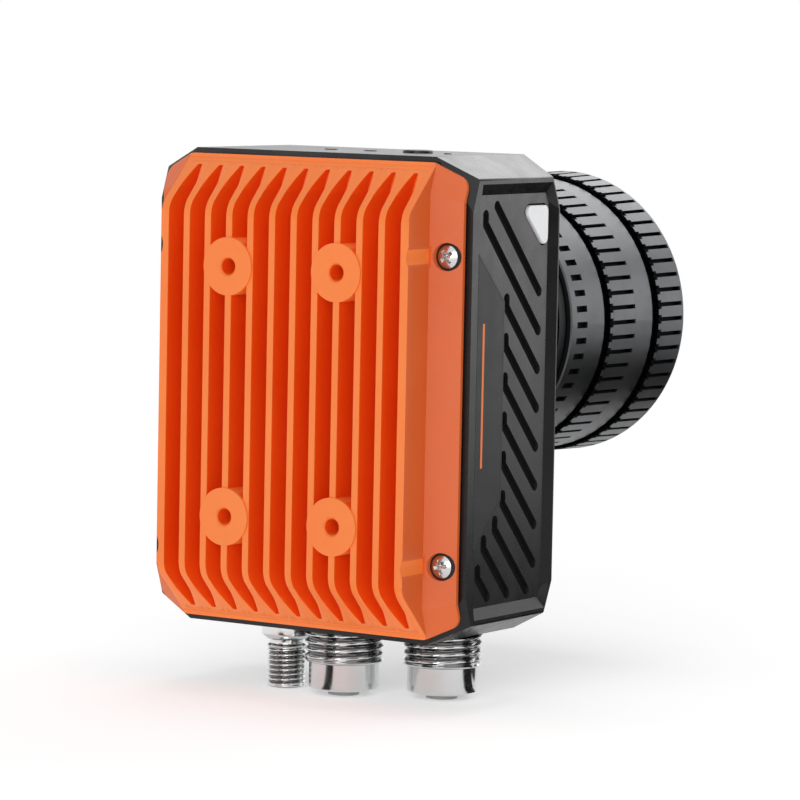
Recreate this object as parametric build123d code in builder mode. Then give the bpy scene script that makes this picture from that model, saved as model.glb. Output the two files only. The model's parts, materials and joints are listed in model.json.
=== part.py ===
# Machine vision camera: a cast box with a finned heat sink behind, a manual zoom
# lens in front and three round connectors underneath. Millimetres, +Y along the
# lens, +Z up. The origin is the centre of the four mounting holes, on their faces.
from build123d import *
import os
from math import asin, atan2, cos, degrees, hypot, radians, sin

os.makedirs("parts", exist_ok=True)

# Housing: outline, depth, and corners that fall away from the front and the rear
body_width = 75.2
body_height = 96.0
body_depth = 32.2
rear_depth = 11.1
corner_width = 8.8
corner_height = 4.2
dip_length = 6.3
rear_dip = 2.2
front_dip = 2.8
edge_round = 0.5
side_wall = 4.6
end_wall = 4.5
front_wall = 3.5
cavity_round = 3.0
fit_gap = 0.05

# Side faces: a bevelled recess with slanting slots, an inlay and a light window
recess_depth = 1.2
recess_rear_margin = 2.3
recess_end_margin = 5.2
recess_front_margin = 0.35
recess_bevel = 2.15
recess_rear_corner = 1.1
recess_front_corner = 2.35
recess_corner_height = 5.4
slot_width = 2.1
slot_depth = 1.0
slot_pitch = 7.8
slot_slope = 1.07
slot_front_margin = 2.9
slot_top_margin = 2.25
slot_bottom_margin = 1.85
slot_first_drop = 19.65
slot_hook = 1.8
slot_reaches = [16.2, 20.3] + [12.0] * 6 + [14.7, 18.7, 20.7]
inlay_front = 23.4
inlay_corner_drop = 28.4
window_side = 9.6
window_round = 1.3
window_front_margin = 0.6
window_top_margin = 2.4
window_thickness = 1.2
window_proud = 0.5
window_gap = 0.35
light_pipe_radius = 1.5

# Heat sink: fins that slope down at both ends, side shoulders
fin_pitch = 5.2
fin_top = 1.45
fin_depth = 0.4
groove_floor = 9.4
groove_draft = 2.0
groove_end_margin = 3.0
slope_start_margin = 11.2
slope_end_margin = 1.8
slope_end_depth = 9.7
slope_round = 5.0
cover_margin_side = 1.4
cover_margin_end = 1.1
cover_corner_width = 7.1
cover_round = 3.0
shoulder_width = 7.9
shoulder_top = 7.8
shoulder_edge = 9.9
rim_thickness = 0.8
spigot_depth = 1.5
spigot_gap = 0.4
spigot_end_margin = 8.5

# Rear gasket
gasket_thickness = 0.4
gasket_margin = 0.6
gasket_gap = 0.3

# Mounting bosses, M4 on 26 x 50
boss_spacing_x = 26.0
boss_spacing_z = 50.0
boss_radius = 5.8
mount_hole_radius = 1.65
mount_hole_mouth = 2.05
mount_hole_depth = 8.0

# Cover screws, M2.5 pan head, each in its own well in the shoulder
screw_side_margin = 4.5
screw_top_margin = 19.3
screw_bottom_margin = 16.0
screw_radius = 1.25
screw_head_radius = 2.25
screw_head_height = 1.5
screw_head_round = 0.7
screw_seat = 9.9
screw_length = 9.5
screw_hole_depth = 10.5
well_radius = 2.75
well_floor = 7.9
scallop_radius = 3.9
pass_gap = 0.2
column_radius = 3.2
column_depth = 14.0
cross_width = 0.6
cross_length = 2.6
cross_depth = 0.9

# Lens mount, 1 inch thread with a 17.5 mm flange to sensor distance
lens_drop = 35.8
lens_opening = 19.5
mount_ring_outer = 27.0
mount_ring_thickness = 3.0
mount_ring_chamfer = 0.5
mount_thread_radius = 12.7
mount_thread_length = 4.0
mount_screw_circle = 24.2
mount_screw_count = 4
mount_screw_reach = 2.5
mount_screw_hole = 2.7
flange_focal = 17.5

# Boards, their posts and screws
board_thickness = 1.6
post_radius = 2.2
board_screw_radius = 1.0
board_screw_head = 1.9
board_screw_head_height = 1.3
board_screw_depth = 3.5
board_screw_slot = 0.5

# Sensor board
sensor_board_size = 44.0
sensor_package = 26.0
sensor_package_thickness = 1.9
sensor_glass_size = 20.0
sensor_glass_thickness = 0.7
sensor_post_spacing = 37.0

# Main board, processor and its heat path
main_board_end_gap = 8.5
main_board_rear = 17.4
main_post_inset_x = 3.0
main_post_inset_z = 4.0
processor_size = 20.0
processor_thickness = 1.8
processor_z = -12.0
thermal_pad_thickness = 1.0
link_width = 16.0
link_height = 4.0
link_drop = 16.2

# Connector board
connector_board_rise = 10.0
connector_board_side_gap = 4.0
connector_board_rear_gap = 1.9
connector_board_front_gap = 1.3
connector_post_inset = 3.0
connector_post_side_inset = 5.0
connector_post_front_inset = 6.5
header_width = 30.0
header_height = 3.0
header_reach = 3.4

# Status board with the switch and lights under the top face
top_row_y = 27.2
status_board_drop = 11.6
status_board_left = -14.0
status_board_right = 26.0
status_board_width = 12.4
status_post_x = [-11.0, 6.8]
switch_size = 6.0
switch_height = 3.5
lights = [(-7.1, 1.35), (2.5, 1.35), (21.0, 0.8)]
light_proud = 0.2
light_gap = 0.5
led_size = 1.2
led_height = 0.6

# Push button
button_x = 13.9
button_radius = 3.0
button_proud = 0.6
button_round = 0.3
button_travel = 0.7
button_flange_radius = 3.9
button_flange_thickness = 0.8
button_rest_gap = 0.2
button_stem_radius = 1.2
button_clearance = 0.1

# M8 connector
m8_depth = 21.6
m8_beside_power = 14.2
m8_radius = 4.0
m8_tip = 13.4
m8_flange_radius = 5.2
m8_flange_thickness = 2.6
m8_flange_cone = 1.0
m8_neck_radius = 3.4
m8_neck_length = 0.9
m8_bore = 2.9
m8_insert_recess = 4.5
m8_pin_circle = 1.5
m8_pin_count = 4
m8_pin_recess = 1.4
m8_nut_radius = 4.9
m8_nut_thickness = 2.0
m8_behind_nut = 0.4
thread_chamfer = 0.4
pin_radius = 0.4
insert_clearance = 1.5

# M12 connectors with an M16 body thread
m12_data_side_margin = 17.45
m12_data_front_margin = 12.9
m12_power_beside_data = 17.95
m12_power_depth = 21.6
m12_thread_radius = 8.0
m12_thread_length = 6.9
m12_collar_radius = 7.1
m12_collar_tip = 12.4
m12_bore = 6.0
m12_base = 2.2
m12_insert_radius = 3.2
m12_insert_proud = 1.2
m12_flange_radius = 9.0
m12_flange_thickness = 1.7
m12_seal_thickness = 0.8
m12_contact_circle = 2.1
m12_contact_count = 8
m12_contact_recess = 0.6

# Lens barrel
barrel_radius = 23.0
barrel_front = 101.0
barrel_bore = 20.0
rear_tube_radius = 16.5
rear_tube_length = 4.2
rear_cone_length = 4.5
rear_bore = 10.5
shoulder_rear = 62.5
shoulder_front = 65.0
shoulder_radius = 26.4
step_depth = 66.0
running_gap = 0.05
axial_gap = 0.3

# Iris ring
iris_rear = 65.3
iris_front = 78.0
iris_rear_radius = 27.4
iris_front_radius = 27.9
iris_bevel = 0.8
notch_count = 52
notch_rear = 67.9
notch_length = 3.8
notch_width = 1.3
notch_depth = 0.7

# Zoom ring and focus ring, with a pocket at the rear end of each groove
zoom_rear = 79.1
zoom_front = 96.1
zoom_rear_radius = 28.7
zoom_front_radius = 29.1
zoom_groove_count = 58
zoom_groove_length = 8.7
focus_rear = 97.0
focus_front = 107.4
focus_rear_radius = 29.9
focus_front_radius = 30.2
focus_groove_count = 60
focus_groove_length = 8.2
ring_chamfer = 0.3
pocket_length = 1.3
pocket_width = 1.9
pocket_depth = 1.4
groove_width = 0.9
groove_depth = 0.8
filter_bore = 25.6
spacer_radius = 25.2
spacer_gap = 0.2
lock_radius = 1.25
lock_slot = 0.5
lock_sunk = 0.4
iris_lock_y = 75.0
zoom_lock_y = 92.6

# Glass, cells and iris
iris_plate_thickness = 1.2
iris_hole = 6.5
iris_blades = 9
rear_glass_radius = 14.0
rear_glass_rear = 51.5
rear_glass_edge = 4.5
rear_glass_crown = 1.8
cell_bore = 17.4
cell_lip_bore = 15.0
zoom_cell_rear = 70.0
zoom_cell_length = 10.0
zoom_seat = 2.0
zoom_glass_edge = 3.4
zoom_glass_crown = 2.2
focus_cell_rear = 86.0
focus_cell_length = 14.0
focus_seat = 4.0
front_glass_edge = 4.5
front_glass_crown = 3.0
retainer_thickness = 1.6
retainer_width = 1.8
crown_margin = 2.0

# Derived places
half_width = body_width / 2
half_height = body_height / 2
lens_height = half_height - lens_drop
screw_x = half_width - screw_side_margin
screw_top_z = half_height - screw_top_margin
screw_bottom_z = screw_bottom_margin - half_height
front_depth = rear_depth + body_depth
cavity_front = front_depth - front_wall
cavity_half_width = half_width - side_wall
cavity_half_height = half_height - end_wall
recess_floor = half_width - recess_depth
recess_rear = rear_depth + recess_rear_margin
recess_front = front_depth - recess_front_margin
recess_half = half_height - recess_end_margin
floor_front = recess_front - recess_bevel
floor_half = recess_half - recess_bevel
inlay_half_height = half_height - inlay_corner_drop
slot_front = floor_front - slot_front_margin
slot_highest = floor_half - slot_top_margin
slot_lowest = slot_bottom_margin - floor_half
slot_first_end = floor_half - slot_first_drop
window_front = floor_front - window_front_margin
window_top = floor_half - window_top_margin
window_floor = recess_floor - window_thickness + window_proud
window_middle = (window_front - window_side / 3, window_top - window_side / 3)
cover_bottom = rear_depth - gasket_thickness
cover_half_width = half_width - cover_margin_side
cover_half_height = half_height - cover_margin_end
cover_corner_height = cover_corner_width * corner_height / corner_width
shoulder_start = half_width - shoulder_width
slope_start = half_height - slope_start_margin
slope_end = half_height - slope_end_margin
groove_half_length = half_height - groove_end_margin
groove_count = int((2 * shoulder_start - fin_top) / fin_pitch)
spigot_front = rear_depth + spigot_depth
spigot_half_width = screw_x - column_radius - spigot_gap
spigot_half_height = half_height - spigot_end_margin
mount_face = front_depth + mount_ring_thickness
sensor_face = mount_face - flange_focal
sensor_board_front = sensor_face - sensor_package_thickness
sensor_board_rear = sensor_board_front - board_thickness
main_board_half_width = spigot_half_width
main_board_half_height = cavity_half_height - main_board_end_gap
main_post_x = main_board_half_width - main_post_inset_x
main_post_z = main_board_half_height - main_post_inset_z
main_board_front = main_board_rear + board_thickness
processor_rear = main_board_rear - processor_thickness
pedestal_front = processor_rear - thermal_pad_thickness
link_z = lens_height - link_drop
connector_board_z = connector_board_rise - half_height
connector_board_half_width = cavity_half_width - connector_board_side_gap
connector_board_rear = spigot_front + connector_board_rear_gap
connector_board_front = cavity_front - connector_board_front_gap
connector_board_top = connector_board_z + board_thickness
status_board_z = half_height - status_board_drop
status_board_top = status_board_z + board_thickness
switch_top = status_board_top + switch_height
insert_top = connector_board_z - insert_clearance
m12_data_place = (half_width - m12_data_side_margin, front_depth - m12_data_front_margin)
m12_power_place = (m12_data_place[0] - m12_power_beside_data, m12_power_depth)
m12_places = {"m12_power": m12_power_place, "m12_data": m12_data_place}
m8_place = (m12_power_place[0] - m8_beside_power, m8_depth)
ring_bore = barrel_radius + running_gap
lens_axis = Axis((0, 0, lens_height), (0, 1, 0))


def around(middle, circle, count):
    """Places evenly spaced on a circle, the first one half a step round."""
    angles = [radians(360 * (index + 0.5) / count) for index in range(count)]
    return [(middle[0] + circle * cos(angle), middle[1] + circle * sin(angle)) for angle in angles]


cover_screw_places = [(side * screw_x, z) for side in (-1, 1) for z in (screw_top_z, screw_bottom_z)]
mount_screw_places = around((0, lens_height), mount_screw_circle, mount_screw_count)
sensor_post_places = [(side * sensor_post_spacing / 2, lens_height + end * sensor_post_spacing / 2)
                      for side in (-1, 1) for end in (-1, 1)]
main_post_places = [(side * main_post_x, end * main_post_z) for side in (-1, 1) for end in (-1, 1)]
connector_post_places = [
    (connector_post_side_inset - connector_board_half_width,
     connector_board_front - connector_post_front_inset),
    (connector_board_half_width - connector_post_inset, connector_board_rear + connector_post_inset)]
status_post_places = [(x, top_row_y) for x in status_post_x]


def depth_plane(depth):
    """Sketch plane at one depth from the boss faces: its x is X and its y is Z."""
    return Plane.XZ.offset(-depth)


def lens_plane(depth):
    """Plane across the lens axis, with its own z along the lens."""
    return Plane(origin=(0, depth, lens_height), x_dir=(1, 0, 0), z_dir=(0, 1, 0))


def octagon(half_w, half_h, cut_w, cut_h):
    """Corner points of a rectangle with four cut corners."""
    side = half_h - cut_h
    end = half_w - cut_w
    return [(half_w, -side), (half_w, side), (end, half_h), (-end, half_h),
            (-half_w, side), (-half_w, -side), (-end, -half_h), (end, -half_h)]


def corner_planes(depth, dip):
    """Four planes that slant the corners away from a face at this depth."""
    planes = []
    for side in (-1, 1):
        for end in (-1, 1):
            inner = Vector(side * (half_width - corner_width), depth, end * half_height)
            edge = Vector(side * half_width, depth, end * (half_height - corner_height - dip_length))
            tip = Vector(side * half_width, depth + dip, end * (half_height - corner_height))
            normal = (edge - inner).cross(tip - inner)
            outward = -normal if normal.Y * dip > 0 else normal
            planes.append(Plane(origin=inner, z_dir=outward))
    return planes


def before_rear(lift):
    """The space in front of the housing's rear surface, moved back by lift."""
    with BuildPart() as space:
        with BuildSketch(depth_plane(rear_depth - lift)):
            Rectangle(2 * body_width, 2 * body_height)
        extrude(amount=-body_depth)
        for plane in corner_planes(rear_depth - lift, rear_dip):
            split(bisect_by=plane, keep=Keep.BOTTOM)
    return space.part


def block(width, height, rear, front, z=0):
    """A flat block between two depths, centred at a height."""
    with BuildPart() as solid:
        with BuildSketch(depth_plane(rear)):
            with Locations((0, z)):
                Rectangle(width, height)
        extrude(amount=rear - front)
    return solid.part


def posts(places, radius, rear, front):
    """Round posts along Y between two depths, at several (x, z) places."""
    with BuildPart() as solid:
        with BuildSketch(depth_plane(rear)):
            with Locations(*places):
                Circle(radius)
        extrude(amount=rear - front)
    return solid.part


def upright_posts(places, radius, low, high):
    """Round posts along Z between two heights, at several (x, y) places."""
    with BuildPart() as solid:
        with BuildSketch(Plane.XY.offset(low)):
            with Locations(*places):
                Circle(radius)
        extrude(amount=high - low)
    return solid.part


def turned(*profile):
    """A body of revolution about the lens axis, from (radius, depth) points."""
    with BuildPart() as solid:
        with BuildSketch(Plane.XY.offset(lens_height)):
            Polygon(*profile, align=None)
        revolve(axis=lens_axis)
    return solid.part


def turned_upright(place, *profile):
    """A body of revolution about a vertical axis, from (radius, height) points."""
    x, y = place
    with BuildPart() as solid:
        with BuildSketch(depth_plane(y)):
            Polygon(*[(x + radius, z) for radius, z in profile], align=None)
        revolve(axis=Axis((x, y, 0), (0, 0, 1)))
    return solid.part


def save(part, label):
    """Labels a finished piece and writes it."""
    part.label = label
    export_step(part, f"parts/{label}.step")


# Side recess, slots and window pocket, cut as one tool and mirrored for the left
def side_outline(front, half, rear_corner, front_corner, corner_drop):
    """Outline of the side recess in (y, z), with its four corners cut."""
    upper = [(recess_rear, half - recess_corner_height), (recess_rear + rear_corner, half),
             (front - front_corner, half), (front, half - corner_drop)]
    return upper + [(y, -z) for y, z in reversed(upper)]


def slot_stretch(start, end):
    """One straight stretch of a slot with round ends."""
    run = end[0] - start[0]
    rise = end[1] - start[1]
    with Locations(((start[0] + end[0]) / 2, (start[1] + end[1]) / 2)):
        SlotCenterToCenter(hypot(run, rise), slot_width, rotation=degrees(atan2(rise, run)))


def window_outline(margin):
    """Rounded right triangle in the upper front corner of the recess."""
    with BuildSketch() as outline:
        Polygon((window_front, window_top), (window_front - window_side, window_top),
                (window_front, window_top - window_side), align=None)
        fillet(outline.vertices(), window_round)
        if margin:
            offset(amount=margin)
    return outline.sketch


with BuildPart() as side_cut:
    with BuildSketch(Plane.YZ.offset(half_width)):
        Polygon(*side_outline(recess_front, recess_half, recess_rear_corner, recess_front_corner,
                              recess_corner_height), align=None)
    with BuildSketch(Plane.YZ.offset(recess_floor)):
        Polygon(*side_outline(floor_front, floor_half, recess_rear_corner / 2, recess_front_corner / 2,
                              recess_corner_height / 3), align=None)
    loft(ruled=True)
    with BuildSketch(Plane.YZ.offset(recess_floor)):
        for index, reach in enumerate(slot_reaches):
            end_z = slot_first_end - slot_pitch * index
            start_y = slot_front - reach
            end_y = min(slot_front, slot_front + (end_z - slot_lowest) / slot_slope)
            if end_y <= start_y:
                break
            knee_z = end_z + (slot_front - start_y) * slot_slope
            top_z = min(knee_z + slot_hook, slot_highest)
            if top_z > knee_z + fit_gap:
                slot_stretch((start_y, top_z), (start_y, knee_z))
            slot_stretch((start_y, knee_z), (end_y, end_z + (slot_front - end_y) * slot_slope))
    extrude(amount=-slot_depth)
    with BuildSketch(Plane.YZ.offset(recess_floor)):
        add(window_outline(window_gap))
    extrude(amount=window_floor - recess_floor)
    with BuildSketch(Plane.YZ.offset(window_floor)):
        with Locations(window_middle):
            Circle(light_pipe_radius + fit_gap)
    extrude(amount=cavity_half_width - window_floor)

# Housing
connector_holes = [(m8_place, m8_radius)] + [(place, m12_thread_radius) for place in m12_places.values()]

with BuildPart() as housing:
    with BuildSketch(depth_plane(rear_depth)):
        Polygon(*octagon(half_width, half_height, corner_width, corner_height), align=None)
    extrude(amount=-body_depth)
    fillet(housing.edges().filter_by(Axis.Y), edge_round)
    for plane in corner_planes(rear_depth, rear_dip) + corner_planes(front_depth, -front_dip):
        split(bisect_by=plane, keep=Keep.BOTTOM)
    with BuildSketch(depth_plane(rear_depth)):
        RectangleRounded(2 * cavity_half_width, 2 * cavity_half_height, cavity_round)
    extrude(amount=rear_depth - cavity_front, mode=Mode.SUBTRACT)
    add(posts(cover_screw_places, column_radius, rear_depth, rear_depth + column_depth))
    add(side_cut.part, mode=Mode.SUBTRACT)
    add(mirror(side_cut.part, about=Plane.YZ, mode=Mode.PRIVATE), mode=Mode.SUBTRACT)
    with Locations(depth_plane(rear_depth)):
        with Locations(*cover_screw_places):
            Hole(screw_radius + fit_gap, depth=screw_hole_depth)
    with BuildSketch(depth_plane(cavity_front)):
        with Locations((0, lens_height)):
            Circle(lens_opening)
    extrude(amount=-front_wall, mode=Mode.SUBTRACT)
    with BuildSketch(depth_plane(front_depth)):
        with Locations(*mount_screw_places):
            Circle(board_screw_radius + fit_gap)
    extrude(amount=mount_screw_hole, mode=Mode.SUBTRACT)
    with BuildSketch(Plane.XY.offset(-half_height)):
        for place, radius in connector_holes:
            with Locations(place):
                Circle(radius + fit_gap)
    extrude(amount=end_wall, mode=Mode.SUBTRACT)
    with BuildSketch(Plane.XY.offset(cavity_half_height)):
        with Locations((button_x, top_row_y)):
            Circle(button_radius + button_clearance)
        for x, radius in lights:
            with Locations((x, top_row_y)):
                Circle(radius + fit_gap)
    extrude(amount=end_wall, mode=Mode.SUBTRACT)
save(housing.part, "housing")

# Side inlays and light windows
inlay_rear = recess_rear + fit_gap
inlay_rear_half = inlay_half_height + inlay_front - inlay_rear

with BuildPart() as side_inlay:
    with BuildSketch(Plane.YZ.offset(recess_floor)):
        Polygon((inlay_rear, -inlay_rear_half), (inlay_front, -inlay_half_height),
                (inlay_front, inlay_half_height), (inlay_rear, inlay_rear_half), align=None)
    extrude(amount=recess_depth)
save(side_inlay.part, "side_inlay_right")
save(mirror(side_inlay.part, about=Plane.YZ), "side_inlay_left")

with BuildPart() as status_window:
    with BuildSketch(Plane.YZ.offset(window_floor)):
        add(window_outline(0))
    extrude(amount=window_thickness)
    with BuildSketch(Plane.YZ.offset(window_floor)):
        with Locations(window_middle):
            Circle(light_pipe_radius)
    extrude(amount=cavity_half_width - window_floor)
save(status_window.part, "status_window_right")
save(mirror(status_window.part, about=Plane.YZ), "status_window_left")

# Heat sink
slope_run = (shoulder_edge - shoulder_top) / (cover_half_width - shoulder_start)
beyond = half_width + fin_pitch

with BuildPart() as heat_sink:
    with BuildSketch(depth_plane(shoulder_top)):
        Polygon(*octagon(cover_half_width, cover_half_height, cover_corner_width, cover_corner_height),
                align=None)
    extrude(amount=shoulder_top - rear_depth - 2 * rear_dip)
    fillet(heat_sink.edges().filter_by(Axis.Y), cover_round)
    with BuildSketch(Plane.XY):
        Polygon((shoulder_start, 0), (shoulder_start, shoulder_top),
                (beyond, shoulder_top + slope_run * (beyond - shoulder_start)), (beyond, 0), align=None)
        mirror(about=Plane.YZ)
    extrude(amount=body_height, both=True, mode=Mode.SUBTRACT)
    for plane in corner_planes(cover_bottom - rim_thickness, rear_dip):
        split(bisect_by=plane, keep=Keep.BOTTOM)
    with BuildSketch(depth_plane(fin_depth)):
        Rectangle(2 * shoulder_start, 2 * slope_end)
    extrude(amount=fin_depth - cover_bottom)
    with BuildSketch(Plane.YZ):
        Polygon((fin_depth, slope_start), (slope_end_depth, slope_end), (slope_end_depth, body_height),
                (-fin_depth, body_height), (-fin_depth, slope_start), align=None)
        mirror(about=Plane.XZ)
    extrude(amount=body_width, both=True, mode=Mode.SUBTRACT)
    fillet(heat_sink.edges().filter_by(Axis.X).group_by(Axis.Y)[0], slope_round)
    add(before_rear(gasket_thickness), mode=Mode.SUBTRACT)
    with BuildSketch(depth_plane(fin_depth)):
        with GridLocations(fin_pitch, fin_pitch, groove_count, 1):
            SlotOverall(2 * groove_half_length, fin_pitch - fin_top, rotation=90)
    extrude(amount=fin_depth - groove_floor, taper=groove_draft, mode=Mode.SUBTRACT)
    with BuildSketch(depth_plane(0)):
        with GridLocations(boss_spacing_x, boss_spacing_z, 2, 2):
            Circle(boss_radius)
    extrude(amount=-cover_bottom)
    add(block(2 * spigot_half_width, 2 * spigot_half_height, cover_bottom, spigot_front))
    add(block(processor_size, processor_size, spigot_front, pedestal_front, z=processor_z))
    with Locations(depth_plane(0)):
        with GridLocations(boss_spacing_x, boss_spacing_z, 2, 2):
            CounterSinkHole(mount_hole_radius, mount_hole_mouth, mount_hole_depth, 90)
        with Locations(*cover_screw_places):
            CounterBoreHole(screw_radius + pass_gap, scallop_radius, well_floor, 2 * rear_depth)
    with Locations(depth_plane(well_floor)):
        with Locations(*cover_screw_places):
            Hole(well_radius, depth=screw_seat - well_floor)
save(heat_sink.part, "heat_sink")

# Gasket between heat sink and housing, bent at the corners as they are
with BuildPart() as rear_gasket:
    with BuildSketch(depth_plane(cover_bottom)):
        Polygon(*octagon(cover_half_width - gasket_margin, cover_half_height - gasket_margin,
                         cover_corner_width, cover_corner_height), align=None)
        Rectangle(2 * (spigot_half_width + gasket_gap), 2 * (spigot_half_height + gasket_gap),
                  mode=Mode.SUBTRACT)
        with Locations(*cover_screw_places):
            Circle(screw_radius + pass_gap, mode=Mode.SUBTRACT)
    extrude(amount=cover_bottom - rear_depth - 2 * rear_dip)
    add(before_rear(gasket_thickness), mode=Mode.INTERSECT)
    add(before_rear(0), mode=Mode.SUBTRACT)
save(rear_gasket.part, "rear_gasket")

# Cover screws
with BuildPart() as cover_screws:
    add(posts(cover_screw_places, screw_head_radius, screw_seat - screw_head_height, screw_seat))
    fillet(cover_screws.faces().group_by(Axis.Y)[0].edges(), screw_head_round)
    with BuildSketch(depth_plane(screw_seat - screw_head_height)):
        with Locations(*cover_screw_places):
            Rectangle(cross_length, cross_width)
            Rectangle(cross_width, cross_length)
    extrude(amount=-cross_depth, mode=Mode.SUBTRACT)
    add(posts(cover_screw_places, screw_radius, screw_seat, screw_seat + screw_length))
save(cover_screws.part, "cover_screws")

# Lens mount ring and its screws
mount_thread_bore = mount_thread_radius + running_gap
ring_screw_seat = mount_face - board_screw_head_height

with BuildPart() as lens_mount_ring:
    add(turned((mount_thread_bore, front_depth), (mount_ring_outer, front_depth),
               (mount_ring_outer, mount_face - mount_ring_chamfer),
               (mount_ring_outer - mount_ring_chamfer, mount_face), (mount_thread_bore, mount_face)))
    add(posts(mount_screw_places, board_screw_radius + fit_gap, front_depth, ring_screw_seat),
        mode=Mode.SUBTRACT)
    add(posts(mount_screw_places, board_screw_head + fit_gap, ring_screw_seat, mount_face),
        mode=Mode.SUBTRACT)
save(lens_mount_ring.part, "lens_mount_ring")

with BuildPart() as mount_ring_screws:
    add(posts(mount_screw_places, board_screw_radius, front_depth - mount_screw_reach, ring_screw_seat))
    add(posts(mount_screw_places, board_screw_head, ring_screw_seat, mount_face))
    with BuildSketch(depth_plane(mount_face)):
        with Locations(*mount_screw_places):
            Rectangle(board_screw_slot, 2 * board_screw_head)
    extrude(amount=board_screw_slot, mode=Mode.SUBTRACT)
save(mount_ring_screws.part, "mount_ring_screws")

# Screws of the four boards, all alike and kept as one group
board_screw_reach = board_thickness + board_screw_depth

with BuildPart() as board_screws:
    add(posts(sensor_post_places, board_screw_head, sensor_board_rear - board_screw_head_height,
              sensor_board_rear))
    add(posts(sensor_post_places, board_screw_radius, sensor_board_rear,
              sensor_board_rear + board_screw_reach))
    add(posts(main_post_places, board_screw_head, main_board_front,
              main_board_front + board_screw_head_height))
    add(posts(main_post_places, board_screw_radius, main_board_front - board_screw_reach, main_board_front))
    add(upright_posts(connector_post_places, board_screw_head, connector_board_top,
                      connector_board_top + board_screw_head_height))
    add(upright_posts(connector_post_places, board_screw_radius, connector_board_top - board_screw_reach,
                      connector_board_top))
    add(upright_posts(status_post_places, board_screw_head, status_board_z - board_screw_head_height,
                      status_board_z))
    add(upright_posts(status_post_places, board_screw_radius, status_board_z,
                      status_board_z + board_screw_reach))
save(board_screws.part, "board_screws")

with BuildPart() as screw_holes:
    grown = board_screw_radius + fit_gap
    add(posts(sensor_post_places, grown, sensor_board_rear, sensor_board_rear + board_screw_reach))
    add(posts(main_post_places, grown, main_board_front - board_screw_reach, main_board_front))
    add(upright_posts(connector_post_places, grown, connector_board_top - board_screw_reach,
                      connector_board_top))
    add(upright_posts(status_post_places, grown, status_board_z, status_board_z + board_screw_reach))

# Sensor board on four posts behind the lens opening
with BuildPart() as sensor_board:
    add(block(sensor_board_size, sensor_board_size, sensor_board_rear, sensor_board_front, z=lens_height))
    add(screw_holes.part, mode=Mode.SUBTRACT)
save(sensor_board.part, "sensor_board")

with BuildPart() as image_sensor:
    add(block(sensor_package, sensor_package, sensor_board_front, sensor_face, z=lens_height))
save(image_sensor.part, "image_sensor")

with BuildPart() as sensor_glass:
    add(block(sensor_glass_size, sensor_glass_size, sensor_face, sensor_face + sensor_glass_thickness,
              z=lens_height))
save(sensor_glass.part, "sensor_glass")

with BuildPart() as sensor_posts:
    add(posts(sensor_post_places, post_radius, sensor_board_front, cavity_front))
    add(screw_holes.part, mode=Mode.SUBTRACT)
save(sensor_posts.part, "sensor_posts")

# Main board on the heat sink, with the processor's heat path
with BuildPart() as main_board:
    add(block(2 * main_board_half_width, 2 * main_board_half_height, main_board_rear, main_board_front))
    add(screw_holes.part, mode=Mode.SUBTRACT)
save(main_board.part, "main_board")

with BuildPart() as main_posts:
    add(posts(main_post_places, post_radius, spigot_front, main_board_rear))
    add(screw_holes.part, mode=Mode.SUBTRACT)
save(main_posts.part, "main_posts")

with BuildPart() as processor:
    add(block(processor_size, processor_size, processor_rear, main_board_rear, z=processor_z))
save(processor.part, "processor")

with BuildPart() as thermal_pad:
    add(block(processor_size, processor_size, pedestal_front, processor_rear, z=processor_z))
save(thermal_pad.part, "thermal_pad")

with BuildPart() as board_link:
    add(block(link_width, link_height, main_board_front, sensor_board_rear, z=link_z))
save(board_link.part, "board_link")

# Connector board above the three connectors
with BuildPart() as connector_board:
    with BuildSketch(Plane.XY.offset(connector_board_z)):
        with Locations((0, (connector_board_rear + connector_board_front) / 2)):
            Rectangle(2 * connector_board_half_width, connector_board_front - connector_board_rear)
    extrude(amount=board_thickness)
    add(screw_holes.part, mode=Mode.SUBTRACT)
save(connector_board.part, "connector_board")

with BuildPart() as connector_board_posts:
    add(upright_posts(connector_post_places, post_radius, -cavity_half_height, connector_board_z))
    add(screw_holes.part, mode=Mode.SUBTRACT)
save(connector_board_posts.part, "connector_board_posts")

with BuildPart() as board_header:
    with BuildSketch(Plane.XY.offset(connector_board_top)):
        with Locations((0, main_board_front + header_reach / 2)):
            Rectangle(header_width, header_reach)
    extrude(amount=header_height)
save(board_header.part, "board_header")

# Status board with the switch and the lights
with BuildPart() as status_board:
    with BuildSketch(Plane.XY.offset(status_board_z)):
        with Locations(((status_board_left + status_board_right) / 2, top_row_y)):
            Rectangle(status_board_right - status_board_left, status_board_width)
    extrude(amount=board_thickness)
    add(screw_holes.part, mode=Mode.SUBTRACT)
save(status_board.part, "status_board")

with BuildPart() as status_board_posts:
    add(upright_posts(status_post_places, post_radius, status_board_top, cavity_half_height))
    add(screw_holes.part, mode=Mode.SUBTRACT)
save(status_board_posts.part, "status_board_posts")

with BuildPart() as button_switch:
    with BuildSketch(Plane.XY.offset(status_board_top)):
        with Locations((button_x, top_row_y)):
            Rectangle(switch_size, switch_size)
    extrude(amount=switch_height)
save(button_switch.part, "button_switch")

with BuildPart() as status_leds:
    with BuildSketch(Plane.XY.offset(status_board_top)):
        with Locations(*[(x, top_row_y) for x, radius in lights]):
            Rectangle(led_size, led_size)
    extrude(amount=led_height)
save(status_leds.part, "status_leds")

light_low = status_board_top + led_height + light_gap

with BuildPart() as indicator_lights:
    with BuildSketch(Plane.XY.offset(light_low)):
        for x, radius in lights:
            with Locations((x, top_row_y)):
                Circle(radius)
    extrude(amount=half_height + light_proud - light_low)
save(indicator_lights.part, "indicator_lights")

# Push button, held up by its switch, with a flange inside the wall
button_place = (button_x, top_row_y)
button_flange_top = cavity_half_height - button_rest_gap
button_flange_low = button_flange_top - button_flange_thickness
button_low = switch_top + button_travel + button_clearance

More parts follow.
